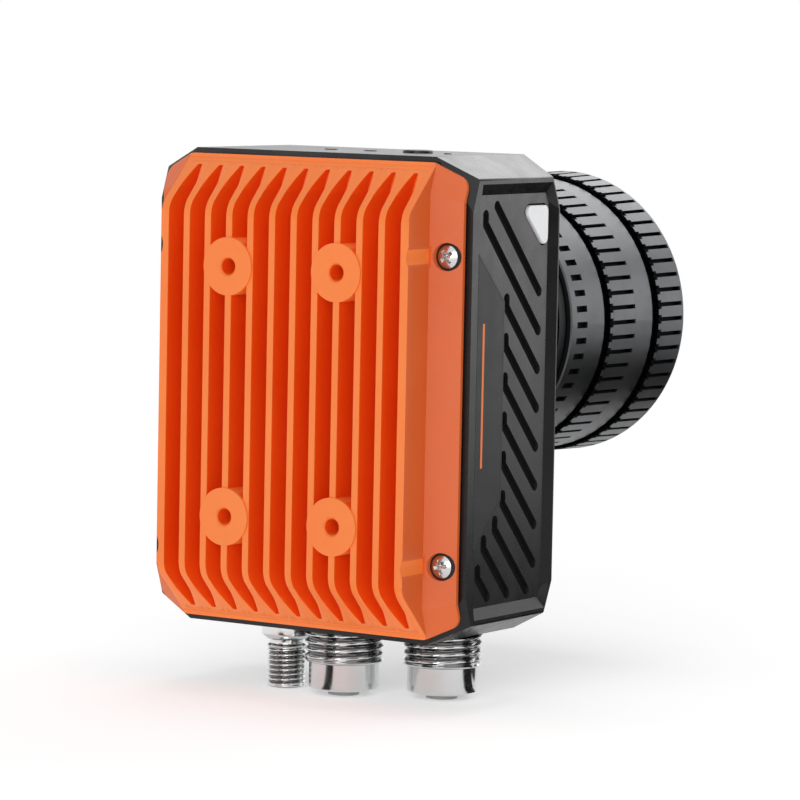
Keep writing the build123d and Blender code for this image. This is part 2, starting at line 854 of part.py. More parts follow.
with BuildPart() as push_button:
    add(upright_posts([button_place], button_radius, button_flange_top, half_height + button_proud))
    fillet(push_button.faces().sort_by(Axis.Z)[-1].edges(), button_round)
    add(upright_posts([button_place], button_flange_radius, button_flange_low, button_flange_top))
    add(upright_posts([button_place], button_stem_radius, button_low, button_flange_low))
save(push_button.part, "push_button")

# M8 connector
m8_end = -half_height - m8_tip
m8_flange_end = -half_height - m8_flange_thickness
m8_cone_end = m8_flange_end - m8_flange_cone
m8_thread_start = m8_cone_end - m8_neck_length
m8_nut_top = -cavity_half_height + m8_nut_thickness
m8_inner_end = m8_nut_top + m8_behind_nut
m8_pin_places = around(m8_place, m8_pin_circle, m8_pin_count)

with BuildPart() as m8_shell:
    add(turned_upright(
        m8_place, (m8_bore, m8_inner_end), (m8_radius, m8_inner_end), (m8_radius, -half_height),
        (m8_flange_radius, -half_height), (m8_flange_radius, m8_flange_end), (m8_radius, m8_cone_end),
        (m8_neck_radius, m8_cone_end), (m8_neck_radius, m8_thread_start),
        (m8_radius, m8_thread_start - thread_chamfer), (m8_radius, m8_end + thread_chamfer),
        (m8_radius - thread_chamfer, m8_end), (m8_bore, m8_end)))
save(m8_shell.part, "m8_shell")

with BuildPart() as m8_nut:
    add(turned_upright(m8_place, (m8_radius + fit_gap, -cavity_half_height),
                       (m8_nut_radius, -cavity_half_height),
                       (m8_nut_radius, m8_nut_top), (m8_radius + fit_gap, m8_nut_top)))
save(m8_nut.part, "m8_nut")

with BuildPart() as m8_insert:
    add(upright_posts([m8_place], m8_bore - fit_gap, m8_end + m8_insert_recess, insert_top))
    add(upright_posts(m8_pin_places, pin_radius + fit_gap, m8_end, insert_top), mode=Mode.SUBTRACT)
save(m8_insert.part, "m8_insert")

with BuildPart() as m8_pins:
    add(upright_posts(m8_pin_places, pin_radius, m8_end + m8_pin_recess, connector_board_z))
save(m8_pins.part, "m8_pins")

# Two M12 connectors, each a threaded shell with a collar, a seal, an insert and contacts
m12_thread_end = -half_height - m12_thread_length
m12_end = -half_height - m12_collar_tip
m12_floor = -half_height - m12_base
m12_flange_low = -cavity_half_height + m12_seal_thickness
m12_flange_top = m12_flange_low + m12_flange_thickness
m12_insert_low = m12_end - m12_insert_proud
m12_insert_bore = m12_insert_radius + fit_gap

for m12_name, m12_place in m12_places.items():
    contact_places = around(m12_place, m12_contact_circle, m12_contact_count)

    with BuildPart() as m12_shell:
        add(turned_upright(
            m12_place, (m12_insert_bore, m12_flange_top), (m12_flange_radius, m12_flange_top),
            (m12_flange_radius, m12_flange_low), (m12_thread_radius, m12_flange_low),
            (m12_thread_radius, m12_thread_end + thread_chamfer),
            (m12_thread_radius - thread_chamfer, m12_thread_end),
            (m12_collar_radius, m12_thread_end), (m12_collar_radius, m12_end + thread_chamfer),
            (m12_collar_radius - thread_chamfer, m12_end), (m12_bore, m12_end), (m12_bore, m12_floor),
            (m12_insert_bore, m12_floor)))
    save(m12_shell.part, f"{m12_name}_shell")

    with BuildPart() as m12_seal:
        add(turned_upright(m12_place, (m12_thread_radius + fit_gap, -cavity_half_height),
                           (m12_flange_radius, -cavity_half_height), (m12_flange_radius, m12_flange_low),
                           (m12_thread_radius + fit_gap, m12_flange_low)))
    save(m12_seal.part, f"{m12_name}_seal")

    with BuildPart() as m12_insert:
        add(upright_posts([m12_place], m12_insert_radius, m12_insert_low, insert_top))
        add(upright_posts(contact_places, pin_radius + fit_gap, m12_insert_low, insert_top),
            mode=Mode.SUBTRACT)
    save(m12_insert.part, f"{m12_name}_insert")

    with BuildPart() as m12_contacts:
        add(upright_posts(contact_places, pin_radius, m12_insert_low + m12_contact_recess, connector_board_z))
    save(m12_contacts.part, f"{m12_name}_contacts")

# Lens barrel, with the thread that screws into the mount ring
thread_rear = mount_face - mount_thread_length
tube_front = mount_face + rear_tube_length
glass_bore = rear_glass_radius + running_gap

with BuildPart() as lens_barrel:
    add(turned((mount_thread_radius, thread_rear), (mount_thread_radius, mount_face),
               (rear_tube_radius, mount_face),
               (rear_tube_radius, tube_front), (barrel_radius, tube_front + rear_cone_length),
               (barrel_radius, shoulder_rear), (shoulder_radius, shoulder_rear),
               (shoulder_radius, shoulder_front),
               (barrel_radius, shoulder_front), (barrel_radius, barrel_front), (barrel_bore, barrel_front),
               (barrel_bore, step_depth), (glass_bore, step_depth), (glass_bore, rear_glass_rear),
               (rear_bore, rear_glass_rear), (rear_bore, thread_rear)))
save(lens_barrel.part, "lens_barrel")

with BuildPart() as iris_diaphragm:
    with BuildSketch(depth_plane(step_depth)):
        with Locations((0, lens_height)):
            Circle(barrel_bore - running_gap)
            RegularPolygon(iris_hole, iris_blades, mode=Mode.SUBTRACT)
    extrude(amount=-iris_plate_thickness)
save(iris_diaphragm.part, "iris_diaphragm")


def glass(radius, rear, edge, crown):
    """A glass element: flat at the rear, crowned in front inside a flat margin."""
    top = rear + edge + crown
    crown_radius = radius - crown_margin
    curve = (crown_radius ** 2 + crown ** 2) / (2 * crown)
    turn = asin(crown_radius / curve) / 2
    with BuildPart() as element:
        with BuildSketch(Plane.XY.offset(lens_height)):
            with BuildLine():
                Polyline((0, top), (0, rear), (radius, rear), (radius, rear + edge),
                         (crown_radius, rear + edge))
                ThreePointArc((crown_radius, rear + edge), (curve * sin(turn), top - curve * (1 - cos(turn))),
                              (0, top))
            make_face()
        revolve(axis=lens_axis)
    return element.part


def retainer(radius, rear):
    """A flat ring that holds a glass element in its seat."""
    bore = radius - retainer_width
    front = rear + retainer_thickness
    return turned((bore, rear), (radius, rear), (radius, front), (bore, front))


def cell(rear, length, seat):
    """A tube with a lip at its rear, which carries a glass element along the barrel."""
    outer = barrel_bore - running_gap
    return turned((cell_lip_bore, rear), (outer, rear), (outer, rear + length), (cell_bore, rear + length),
                  (cell_bore, rear + seat), (cell_lip_bore, rear + seat))


cell_glass_radius = cell_bore - running_gap
zoom_glass_rear = zoom_cell_rear + zoom_seat
front_glass_rear = focus_cell_rear + focus_seat
save(glass(rear_glass_radius, rear_glass_rear, rear_glass_edge, rear_glass_crown), "rear_glass")
save(retainer(rear_glass_radius, rear_glass_rear + rear_glass_edge), "rear_retainer")
save(cell(zoom_cell_rear, zoom_cell_length, zoom_seat), "zoom_cell")
save(glass(cell_glass_radius, zoom_glass_rear, zoom_glass_edge, zoom_glass_crown), "zoom_glass")
save(retainer(cell_glass_radius, zoom_glass_rear + zoom_glass_edge), "zoom_retainer")
save(cell(focus_cell_rear, focus_cell_length, focus_seat), "focus_cell")
save(glass(cell_glass_radius, front_glass_rear, front_glass_edge, front_glass_crown), "front_glass")
save(retainer(cell_glass_radius, front_glass_rear + front_glass_edge), "front_retainer")


# Rings that turn on the barrel
def radial_bar(depth, radius, inner, outer):
    """A round bar on the left of the lens, between two distances from its axis."""
    with BuildPart() as bar:
        with BuildSketch(Plane.YZ.offset(-outer)):
            with Locations((depth, lens_height)):
                Circle(radius)
        extrude(amount=outer - inner)
    return bar.part


def lock_screw(depth, outer):
    """A slotted set screw in the left side of a ring."""
    with BuildPart() as screw:
        add(radial_bar(depth, lock_radius, ring_bore + axial_gap, outer))
        with BuildSketch(Plane.YZ.offset(-outer)):
            with Locations((depth, lens_height)):
                Rectangle(lock_slot, 2 * lock_radius)
        extrude(amount=lock_slot, mode=Mode.SUBTRACT)
    return screw.part


with BuildPart() as iris_ring:
    add(turned((ring_bore, iris_rear), (iris_rear_radius - iris_bevel, iris_rear),
               (iris_rear_radius, iris_rear + iris_bevel), (iris_front_radius, iris_front),
               (ring_bore, iris_front)))
    with Locations(lens_plane(notch_rear + notch_length / 2)):
        with PolarLocations(iris_rear_radius, notch_count):
            Box(2 * notch_depth, notch_width, notch_length, mode=Mode.SUBTRACT)
    add(radial_bar(iris_lock_y, lock_radius + fit_gap, barrel_radius, focus_rear_radius), mode=Mode.SUBTRACT)
save(iris_ring.part, "iris_ring")
save(lock_screw(iris_lock_y, iris_rear_radius - lock_sunk), "iris_lock_screw")

with BuildPart() as zoom_ring:
    add(turned((ring_bore, zoom_rear), (zoom_rear_radius - ring_chamfer, zoom_rear),
               (zoom_rear_radius, zoom_rear + ring_chamfer), (zoom_front_radius, zoom_front - ring_chamfer),
               (zoom_front_radius - ring_chamfer, zoom_front), (ring_bore, zoom_front)))
    with Locations(lens_plane(zoom_rear + pocket_length / 2)):
        with PolarLocations(zoom_rear_radius, zoom_groove_count):
            Box(2 * pocket_depth, pocket_width, pocket_length, mode=Mode.SUBTRACT)
    with Locations(lens_plane(zoom_rear + pocket_length + zoom_groove_length / 2)):
        with PolarLocations(zoom_rear_radius, zoom_groove_count):
            Box(2 * groove_depth, groove_width, zoom_groove_length, mode=Mode.SUBTRACT)
    add(radial_bar(zoom_lock_y, lock_radius + fit_gap, barrel_radius, focus_rear_radius), mode=Mode.SUBTRACT)
save(zoom_ring.part, "zoom_ring")
save(lock_screw(zoom_lock_y, zoom_rear_radius - lock_sunk), "zoom_lock_screw")

filter_floor = barrel_front + axial_gap

with BuildPart() as focus_ring:
    add(turned((ring_bore, focus_rear), (focus_rear_radius - ring_chamfer, focus_rear),
               (focus_rear_radius, focus_rear + ring_chamfer),
               (focus_front_radius, focus_front - ring_chamfer),
               (focus_front_radius - ring_chamfer, focus_front), (filter_bore + ring_chamfer, focus_front),
               (filter_bore, focus_front - ring_chamfer), (filter_bore, filter_floor),
               (ring_bore, filter_floor)))
    with Locations(lens_plane(focus_rear + pocket_length / 2)):
        with PolarLocations(focus_rear_radius, focus_groove_count):
            Box(2 * pocket_depth, pocket_width, pocket_length, mode=Mode.SUBTRACT)
    with Locations(lens_plane(focus_rear + pocket_length + focus_groove_length / 2)):
        with PolarLocations(focus_rear_radius, focus_groove_count):
            Box(2 * groove_depth, groove_width, focus_groove_length, mode=Mode.SUBTRACT)
save(focus_ring.part, "focus_ring")


def spacer(rear, front):
    """A thin fixed washer between two rings."""
    return turned((ring_bore, rear + spacer_gap), (spacer_radius, rear + spacer_gap),
                  (spacer_radius, front - spacer_gap), (ring_bore, front - spacer_gap))


save(spacer(iris_front, zoom_rear), "iris_spacer")
save(spacer(zoom_front, focus_rear), "zoom_spacer")
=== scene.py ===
import json
from math import atan2, ceil, cos, floor, hypot, pi, radians, sin, sqrt

import bmesh
import bpy
from mathutils import Matrix, Vector


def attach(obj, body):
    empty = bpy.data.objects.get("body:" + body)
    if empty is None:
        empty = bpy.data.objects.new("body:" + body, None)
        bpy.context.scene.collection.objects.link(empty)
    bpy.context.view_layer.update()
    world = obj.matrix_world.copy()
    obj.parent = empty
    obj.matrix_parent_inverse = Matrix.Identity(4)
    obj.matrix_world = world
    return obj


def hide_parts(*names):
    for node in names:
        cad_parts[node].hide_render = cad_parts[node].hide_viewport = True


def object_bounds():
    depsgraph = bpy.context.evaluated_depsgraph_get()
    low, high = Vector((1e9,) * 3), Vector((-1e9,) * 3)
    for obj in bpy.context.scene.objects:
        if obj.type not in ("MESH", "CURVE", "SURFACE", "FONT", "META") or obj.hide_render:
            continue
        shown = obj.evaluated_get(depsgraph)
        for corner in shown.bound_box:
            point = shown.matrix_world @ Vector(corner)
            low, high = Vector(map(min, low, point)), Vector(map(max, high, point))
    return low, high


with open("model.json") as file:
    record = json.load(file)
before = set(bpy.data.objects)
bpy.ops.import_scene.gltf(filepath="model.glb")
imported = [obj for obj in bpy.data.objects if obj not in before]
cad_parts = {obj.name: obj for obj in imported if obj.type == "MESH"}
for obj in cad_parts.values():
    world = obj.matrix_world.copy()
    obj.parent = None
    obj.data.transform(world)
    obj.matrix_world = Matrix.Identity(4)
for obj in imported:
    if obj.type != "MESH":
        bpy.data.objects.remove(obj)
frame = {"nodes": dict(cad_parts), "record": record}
cad_low, cad_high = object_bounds()
nodes = frame["nodes"]
slot_of = {part["node"]: part["material_slot"] for part in frame["record"]["subparts"]}
MM = 0.001

# Places on the camera in millimetres
LENS_Z = 12.2
BODY_LOW = -48.0
M8_PLACE = (-12.0, 21.6, 0.0)
M12_PLACES = {"m12_power": (2.2, 21.6, 0.0), "m12_data": (20.15, 30.4, 0.0)}
SCREW_X, SCREW_SEAT, SCREW_HEIGHTS = 33.1, 9.9, (28.7, -32.0)
SHOULDER_X, SHOULDER_DEPTH, FLANK_X = 29.5, 13.0, 29.0
SLOT_ACROSS, SLOT_DEPTHS, SLOT_HALF = (35.2, 36.36), (15.0, 40.0), 41.5
INLAY_FRONT, INLAY_HALF = 23.4, 19.6
LINE_Y, LINE_HALF, LINE_LOW, LINE_HIGH = 15.8, 0.35, -12.8, 15.6
FIN_PITCH, GROOVES_BESIDE = 5.2, 5
SLOPE_TOP, SLOPE_START, SLOPE_RATE = 0.4, 36.8, 9.3 / 9.4

# Scale and strength of the fine lines left by a lathe
LATHE_LINES, LATHE_RELIEF = 9000.0, 0.25


# Shader wiring
def add(tree, kind, values=None, **settings):
    """Adds a shader node; values are numbers, colours or sockets for its inputs."""
    node = tree.nodes.new("ShaderNode" + kind)
    for key, value in settings.items():
        setattr(node, key, value)
    for key, value in (values or {}).items():
        if isinstance(value, bpy.types.NodeSocket):
            tree.links.new(value, node.inputs[key])
        else:
            node.inputs[key].default_value = value
    return node


def shader(name):
    """A material with an empty tree."""
    material = bpy.data.materials.new(name)
    material.use_nodes = True
    material.node_tree.nodes.clear()
    return material, material.node_tree


def colour(code):
    """Linear colour from an sRGB hex code."""
    parts = [int(code[i:i + 2], 16) / 255 for i in (0, 2, 4)]
    return [c / 12.92 if c <= 0.04045 else ((c + 0.055) / 1.055) ** 2.4 for c in parts] + [1.0]


def math(tree, operation, first, second=0.0):
    """One Math node; returns its output."""
    return add(tree, "Math", {0: first, 1: second}, operation=operation).outputs[0]


def noise(tree, vector, scale, detail=3.0):
    """Fractal noise between about 0.3 and 0.7."""
    node = add(tree, "TexNoise", {"Vector": vector, "Scale": scale, "Detail": detail, "Roughness": 0.55})
    return node.outputs["Fac"]


def spread(tree, value, low, high, start=0.3, end=0.7):
    """Maps a noise value onto a range."""
    limits = {"From Min": start, "From Max": end, "To Min": low, "To Max": high}
    return add(tree, "MapRange", {"Value": value, **limits}).outputs["Result"]


def mix(tree, factor, first, second):
    """Mixes two colours."""
    node = add(tree, "Mix", {"Factor": factor}, data_type="RGBA")
    for index, value in ((6, first), (7, second)):
        if isinstance(value, bpy.types.NodeSocket):
            tree.links.new(value, node.inputs[index])
        else:
            node.inputs[index].default_value = value
    return node.outputs[2]


def around_axis(tree, axis, centre):
    """Vector of (radius, place along the axis), for lines left by a lathe."""
    place = add(tree, "TexCoord").outputs["Object"]
    split = add(tree, "SeparateXYZ", {0: place}).outputs
    if axis == "Y":
        across, along, up = split["X"], split["Y"], math(tree, "SUBTRACT", split["Z"], centre)
    else:
        across, along, up = split["X"], split["Z"], split["Y"]
    square = math(tree, "ADD", math(tree, "MULTIPLY", across, across), math(tree, "MULTIPLY", up, up))
    radius = math(tree, "SQRT", square)
    return add(tree, "CombineXYZ", {0: radius, 1: along}).outputs[0]


def finish_of(tree, base, rough, normal=None, **settings):
    """Principled shader and output."""
    values = {"Base Color": base, "Roughness": rough}
    if normal is not None:
        values["Normal"] = normal
    values.update(settings)
    shading = add(tree, "BsdfPrincipled", values)
    add(tree, "OutputMaterial", {"Surface": shading.outputs[0]})


def relief(tree, height, strength, depth_mm):
    """Bump from a height value; depth in millimetres."""
    values = {"Height": height, "Strength": strength, "Distance": depth_mm * MM}
    return add(tree, "Bump", values).outputs[0]


def coat(name, dark, light, rough, grain=1500.0, grain_depth=0.03, strength=0.35, **settings):
    """Powder coat or moulded plastic: cloudy tone, uneven gloss and a fine grain."""
    material, tree = shader(name)
    place = add(tree, "TexCoord").outputs["Object"]
    clouds = noise(tree, place, 45.0, 4.0)
    specks = noise(tree, place, grain, 2.0)
    base = mix(tree, spread(tree, clouds, 0.0, 1.0), dark, light)
    gloss = spread(tree, noise(tree, place, 160.0, 3.0), rough - 0.05, rough + 0.05)
    finish_of(tree, base, gloss, relief(tree, specks, strength, grain_depth), **settings)
    return material


def turned_metal(name, dark, light, rough, axis, centre, metallic, **settings):
    """Metal from a lathe: fine rings around an axis."""
    material, tree = shader(name)
    rings = noise(tree, around_axis(tree, axis, centre), LATHE_LINES, 2.0)
    place = add(tree, "TexCoord").outputs["Object"]
    clouds = noise(tree, place, 120.0, 4.0)
    base = mix(tree, spread(tree, clouds, 0.0, 1.0), dark, light)
    gloss = spread(tree, rings, rough - 0.06, rough + 0.06)
    settings["Metallic"] = metallic
    finish_of(tree, base, gloss, relief(tree, rings, LATHE_RELIEF, 0.01), **settings)
    return material


def glass_of(name, tint, film):
    """Coated optical glass; film is the coating's thickness in nanometres."""
    material, tree = shader(name)
    place = add(tree, "TexCoord").outputs["Object"]
    base = mix(tree, noise(tree, place, 60.0), tint, [min(1.0, c * 1.06) for c in tint[:3]] + [1.0])
    settings = {"Transmission Weight": 1.0, "IOR": 1.52, "Thin Film Thickness": film, "Thin Film IOR": 1.38}
    finish_of(tree, base, 0.0, **settings)
    return material


def board_coat(name):
    """Green circuit board with faint tracks."""
    material, tree = shader(name)
    place = add(tree, "TexCoord").outputs["Object"]
    tracks = add(tree, "TexBrick", {"Vector": place, "Scale": 400.0, "Mortar Size": 0.03,
                                    "Color1": colour("0B4A26"), "Color2": colour("0D5229"),
                                    "Mortar": colour("1C7A41")})
    finish_of(tree, tracks.outputs["Color"], 0.4, relief(tree, tracks.outputs["Fac"], 0.2, 0.03))
    return material


def between(tree, value, low, high):
    """1 where a value in millimetres lies between two limits."""
    above = math(tree, "GREATER_THAN", value, low * MM)
    return math(tree, "MULTIPLY", above, math(tree, "LESS_THAN", value, high * MM))


def place_of(tree):
    """Position on the object and its three parts."""
    place = add(tree, "TexCoord").outputs["Object"]
    parts = add(tree, "SeparateXYZ", {0: place}).outputs
    return place, parts["X"], parts["Y"], parts["Z"]


def inlay_coat(name):
    """Matt black plate with a painted shadow line inside its border, standing in for the shade of the gap
    round it, and a thin painted line along it.
    """
    material, tree = shader(name)
    place, _, y, z = place_of(tree)
    line = math(tree, "MULTIPLY", between(tree, y, LINE_Y - LINE_HALF, LINE_Y + LINE_HALF),
                between(tree, z, LINE_LOW, LINE_HIGH))
    clouds = noise(tree, place, 60.0, 4.0)
    plate = mix(tree, spread(tree, clouds, 0.0, 1.0), colour("1A1B1C"), colour("212223"))
    to_front = math(tree, "SUBTRACT", INLAY_FRONT * MM, y)
    slant = math(tree, "SUBTRACT", math(tree, "ADD", to_front, INLAY_HALF * MM), math(tree, "ABSOLUTE", z))
    border = math(tree, "MINIMUM", to_front, math(tree, "MULTIPLY", slant, 1 / sqrt(2)))
    # Painted shadow: a near-black line 0.28 to 0.62 mm inside the plate's front and slanted edges, for the
    # shade of the gap round the plate.
    plate = mix(tree, between(tree, border, 0.28, 0.62), plate, colour("040404"))
    base = mix(tree, line, plate, colour("E8742A"))
    grain = noise(tree, place, 2200.0, 2.0)
    gloss = spread(tree, noise(tree, place, 200.0), 0.38, 0.46)
    finish_of(tree, base, gloss, relief(tree, grain, 0.25, 0.02), **{"Specular IOR Level": 0.35})
    return material


def orange_coat(name):
    """Semi-matt orange coat, with painted bounce light giving the fin flanks in the grooves a deeper orange
    and painted shade making the shoulders redder.
    """
    material, tree = shader(name)
    place, x, y, _ = place_of(tree)
    facing = add(tree, "SeparateXYZ", {0: add(tree, "TexCoord").outputs["Normal"]}).outputs["X"]
    flank = math(tree, "GREATER_THAN", math(tree, "ABSOLUTE", facing), 0.55)
    across = math(tree, "ABSOLUTE", x)
    inner = math(tree, "LESS_THAN", across, FLANK_X * MM)
    sunk = math(tree, "GREATER_THAN", y, (SLOPE_TOP + 0.2) * MM)
    deep = math(tree, "MULTIPLY", sunk, math(tree, "MULTIPLY", flank, inner))
    clouds = spread(tree, noise(tree, place, 40.0, 4.0), 0.0, 1.0)
    open_tone = mix(tree, clouds, colour("F57A2C"), colour("F98438"))
    # Painted bounce light: a deeper, more saturated orange on the fin flanks inside the grooves, for light
    # bounced between the fins.
    painted_bounce_tone = mix(tree, clouds, colour("F9560A"), colour("FC5E10"))
    # Painted shade: a darker, redder orange on the outer shoulders, for the shade they lie in.
    outer = math(tree, "GREATER_THAN", across, SHOULDER_X * MM)
    shoulder = math(tree, "MULTIPLY", outer, between(tree, y, SLOPE_TOP + 0.1, SHOULDER_DEPTH))
    shoulder_shade_tone = mix(tree, clouds, colour("DA6126"), colour("DE682C"))
    base = mix(tree, deep, mix(tree, shoulder, open_tone, shoulder_shade_tone), painted_bounce_tone)
    gloss = spread(tree, noise(tree, place, 150.0, 3.0), 0.36, 0.46)
    specks = noise(tree, place, 1300.0, 2.0)
    finish_of(tree, base, gloss, relief(tree, specks, 0.3, 0.03))
    return material


def body_coat(name):
    """Satin black coat, with painted shade making it near-black down in the slots of the side faces."""
    material, tree = shader(name)
    place, x, y, z = place_of(tree)
    across = math(tree, "ABSOLUTE", x)
    side = math(tree, "MULTIPLY", between(tree, y, *SLOT_DEPTHS), between(tree, z, -SLOT_HALF, SLOT_HALF))
    slot = math(tree, "MULTIPLY", between(tree, across, *SLOT_ACROSS), side)
    clouds = spread(tree, noise(tree, place, 45.0, 4.0), 0.0, 1.0)
    # Painted shade: near-black inside the side slots.
    base = mix(tree, slot, mix(tree, clouds, colour("151516"), colour("1B1B1C")), colour("040404"))
    gloss = spread(tree, noise(tree, place, 160.0, 3.0), 0.24, 0.32)
    gloss = math(tree, "ADD", gloss, math(tree, "MULTIPLY", slot, 0.5))
    specks = noise(tree, place, 1800.0, 2.0)
    finish_of(tree, base, gloss, relief(tree, specks, 0.2, 0.02), **{"Specular IOR Level": 0.35})
    return material


def ring_metal(name, rear, front, recess_shade_tone="0C0C0D"):
    """Black anodised ring: fine lathe lines on its lands, duller in its grooves, with painted shade
    darkening its grooves and the pockets at its rear edge.
    rear and front are its (depth, outer radius) at both ends."""
    material, tree = shader(name)
    around = around_axis(tree, "Y", LENS_Z * MM)
    parts = add(tree, "SeparateXYZ", {0: around}).outputs
    radius, along = parts["X"], parts["Y"]
    outer = spread(tree, along, rear[1] * MM, front[1] * MM, rear[0] * MM, front[0] * MM)
    depth = math(tree, "SUBTRACT", outer, radius)
    sunk = spread(tree, depth, 0.0, 1.0, 0.25 * MM, 0.6 * MM)
    at_rear = math(tree, "LESS_THAN", along, (rear[0] + 0.5) * MM)
    at_rear = math(tree, "MULTIPLY", at_rear, math(tree, "GREATER_THAN", depth, 0.05 * MM))
    sunk = math(tree, "MAXIMUM", sunk, at_rear)
    lines = noise(tree, around, LATHE_LINES, 2.0)
    place = add(tree, "TexCoord").outputs["Object"]
    clouds = spread(tree, noise(tree, place, 120.0, 4.0), 0.0, 1.0)
    # Painted shade: the grooves and rear pockets darken towards the given shade tone.
    base = mix(tree, sunk, mix(tree, clouds, colour("535456"), colour("5C5D5F")), colour(recess_shade_tone))
    gloss = math(tree, "ADD", spread(tree, lines, 0.34, 0.44), math(tree, "MULTIPLY", sunk, 0.35))
    finish_of(tree, base, gloss, relief(tree, lines, LATHE_RELIEF, 0.01), **{"Metallic": 1.0})
    return material


def thread_metal(name, crest, depth):
    """Nickel plate with painted shade darkening its thread valleys, on a shell turned about its own Z."""
    material, tree = shader(name)
    place, x, y, _ = place_of(tree)
    square = math(tree, "ADD", math(tree, "MULTIPLY", x, x), math(tree, "MULTIPLY", y, y))
    sunk = math(tree, "SUBTRACT", crest * MM, math(tree, "SQRT", square))
    valley_shade = spread(tree, sunk, 0.0, 1.0, 0.12 * depth * MM, 0.7 * depth * MM)
    valley_shade = math(tree, "MULTIPLY", valley_shade, math(tree, "LESS_THAN", sunk, 1.02 * depth * MM))
    clouds = spread(tree, noise(tree, place, 120.0, 4.0), 0.0, 1.0)
    # Painted shade: a darker grey down in the thread valleys.
    base = mix(tree, valley_shade, mix(tree, clouds, colour("DADBDB"), colour("E6E7E7")), colour("8A8A8A"))
    gloss = spread(tree, noise(tree, place, 900.0, 2.0), 0.13, 0.2)
    finish_of(tree, base, gloss, **{"Metallic": 1.0})
    return material


materials = {
    "orange_coat": orange_coat("orange_coat"),
    "body_coat": body_coat("body_coat"),
    "inlay_plastic": inlay_coat("inlay_plastic"),
    "window_plastic": coat("window_plastic", colour("E4E5E6"), colour("ECEDEE"), 0.3, 800.0, 0.01, 0.1,
                           **{"Subsurface Weight": 0.15, "Subsurface Scale": 0.002}),
    "smoked_window": coat("smoked_window", colour("2A2B2C"), colour("363738"), 0.3, 800.0, 0.01, 0.1),
    "screw_steel": turned_metal("screw_steel", colour("C9C9C9"), colour("DADADA"), 0.2, "Z", 0.0, 1.0),
    "black_steel": coat("black_steel", colour("151516"), colour("1C1C1D"), 0.35, 2400.0, 0.01, 0.2),
    # Painted shade: the lens barrel and mount ring are blacker and duller than the rings, for the shade
    # behind the rings.
    "lens_anodised": turned_metal("lens_anodised", colour("0A0A0B"), colour("0E0F10"), 0.5, "Y",
                                  LENS_Z * MM, 0.0, **{"Specular IOR Level": 0.2}),
    "iris_ring_metal": ring_metal("iris_ring_metal", (65.3, 27.4), (78.0, 27.9), "1E1E1F"),
    "zoom_ring_metal": ring_metal("zoom_ring_metal", (79.1, 28.7), (96.1, 29.1)),
    "focus_ring_metal": ring_metal("focus_ring_metal", (97.0, 29.9), (107.4, 30.2)),
    "lens_glass": glass_of("lens_glass", colour("F4F8F6"), 420.0),
    "board_green": board_coat("board_green"),
    "chip_plastic": coat("chip_plastic", colour("1A1A1B"), colour("202021"), 0.5, 1800.0, 0.02),
    "post_brass": coat("post_brass", colour("B8933F"), colour("CBA550"), 0.28, 1000.0, 0.01, 0.2,
                       Metallic=1.0),
    "contact_brass": coat("contact_brass", colour("D2A945"), colour("E2BC5C"), 0.2, 1000.0, 0.01, 0.2,
                          Metallic=1.0),
    "thermal_pad": coat("thermal_pad", colour("7C8A96"), colour("8A98A4"), 0.7, 900.0, 0.04),
    "seal_rubber": coat("seal_rubber", colour("0C0C0D"), colour("121213"), 0.62, 1200.0, 0.04),
    "insert_plastic": coat("insert_plastic", colour("A2A3A4"), colour("ADAEAF"), 0.3, 1400.0, 0.02),
    "button_plastic": coat("button_plastic", colour("141516"), colour("1B1C1D"), 0.3, 1400.0, 0.01),
    "nickel": turned_metal("nickel", colour("D2D2D1"), colour("E0E0DF"), 0.16, "Z", 0.0, 1.0),
    "m8_thread": thread_metal("m8_thread", 4.0, 0.5),
    "m12_thread": thread_metal("m12_thread", 8.0, 0.75),
}
looks = {"iris_ring": "iris_ring_metal", "zoom_ring": "zoom_ring_metal", "focus_ring": "focus_ring_metal",
         "indicator_lights": "smoked_window"}


def dress(node, look):
    """Gives a shown object its one material."""
    node.data.materials.clear()
    node.data.materials.append(materials[look])


for name, node in nodes.items():
    dress(node, looks.get(name, slot_of[name]))


# Softer edges on the CAD solids that show
def soften(name, width_mm):
    """Rounds a CAD node's edges with modifiers, its mesh unchanged."""
    node = nodes[name]
    weld = node.modifiers.new("weld", "WELD")
    weld.merge_threshold = 1e-6
    flat = node.modifiers.new("flat", "DECIMATE")
    flat.decimate_type = "DISSOLVE"
    flat.angle_limit = radians(0.4)
    edge = node.modifiers.new("edge", "BEVEL")
    edge.width = width_mm * MM
    edge.segments = 2
    edge.limit_method = "ANGLE"
    edge.angle_limit = radians(32.0)
    edge.harden_normals = True
    edge.miter_outer = "MITER_ARC"


for name, width in {"housing": 0.14, "heat_sink": 0.3, "side_inlay_right": 0.12, "side_inlay_left": 0.12,
                    "status_window_right": 0.2, "status_window_left": 0.2, "indicator_lights": 0.12}.items():
    soften(name, width)


# Meshes built here
def make(name, points, faces, body, slot, replaces=(), place=(0, 0, 0), angle=32.0):
    """A mesh in millimetres around a place, riding on a body."""
    mesh = bpy.data.meshes.new(name)
    mesh.from_pydata([Vector(p) * MM for p in points], [], faces)
    mesh.validate()
    made = bmesh.new()
    made.from_mesh(mesh)
    bmesh.ops.recalc_face_normals(made, faces=made.faces)
    made.to_mesh(mesh)
    made.free()
    mesh.shade_smooth()
    mesh.set_sharp_from_angle(angle=radians(angle))
    piece = bpy.data.objects.new(name, mesh)
    bpy.context.scene.collection.objects.link(piece)
    piece.location = Vector(place) * MM
    dress(piece, slot)
    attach(piece, body)
    if replaces:
        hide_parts(*replaces)
    return piece


def thread_shape(turns):
    """Depth share of a rounded 60 degree thread at a number of turns."""
    share = abs(2 * (turns - floor(turns)) - 1)
    return min(1.0, max(0.0, 1.35 * share - 0.2))


def steps(start, end, step):
    """Values from start to end, at most one step apart, without the last."""
    count = max(1, ceil(abs(end - start) / step))
    return [start + (end - start) * index / count for index in range(count)]


